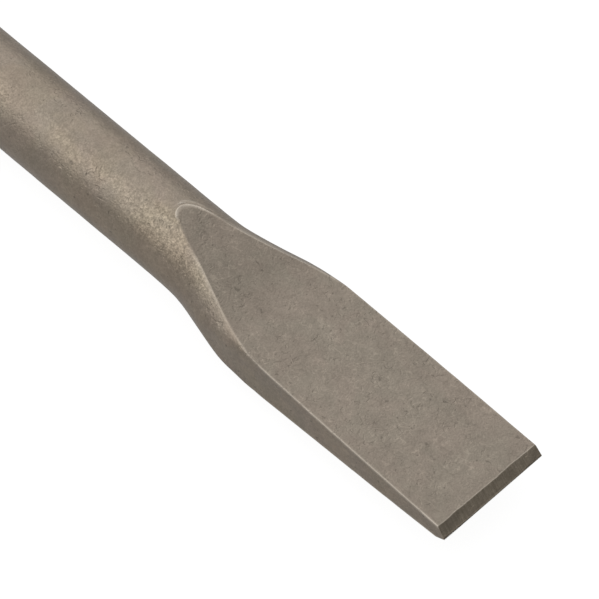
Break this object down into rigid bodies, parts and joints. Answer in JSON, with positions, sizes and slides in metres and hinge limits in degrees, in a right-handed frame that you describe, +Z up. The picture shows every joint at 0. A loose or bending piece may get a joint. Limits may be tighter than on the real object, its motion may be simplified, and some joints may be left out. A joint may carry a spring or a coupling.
{
  "type": "flat chisel",
  "caption": "Narrow flat chisel for a light rotary hammer: slotted shank, round bar, flared neck and a thin flat blade with a double bevel.",
  "frame": {"origin": "centre of the struck end face of the shank", "axes": "+X along the axis from the struck end to the cutting edge, Y across the blade's width, Z up through the blade's flat faces"},
  "size_m": [0.25, 0.0204, 0.014],
  "materials": {
    "blasted_steel": "shot-blasted forging, matt warm grey with fine grain"
  },
  "bodies": {
    "root": {"forged_chisel": "blasted_steel"}
  },
  "joints": []
}
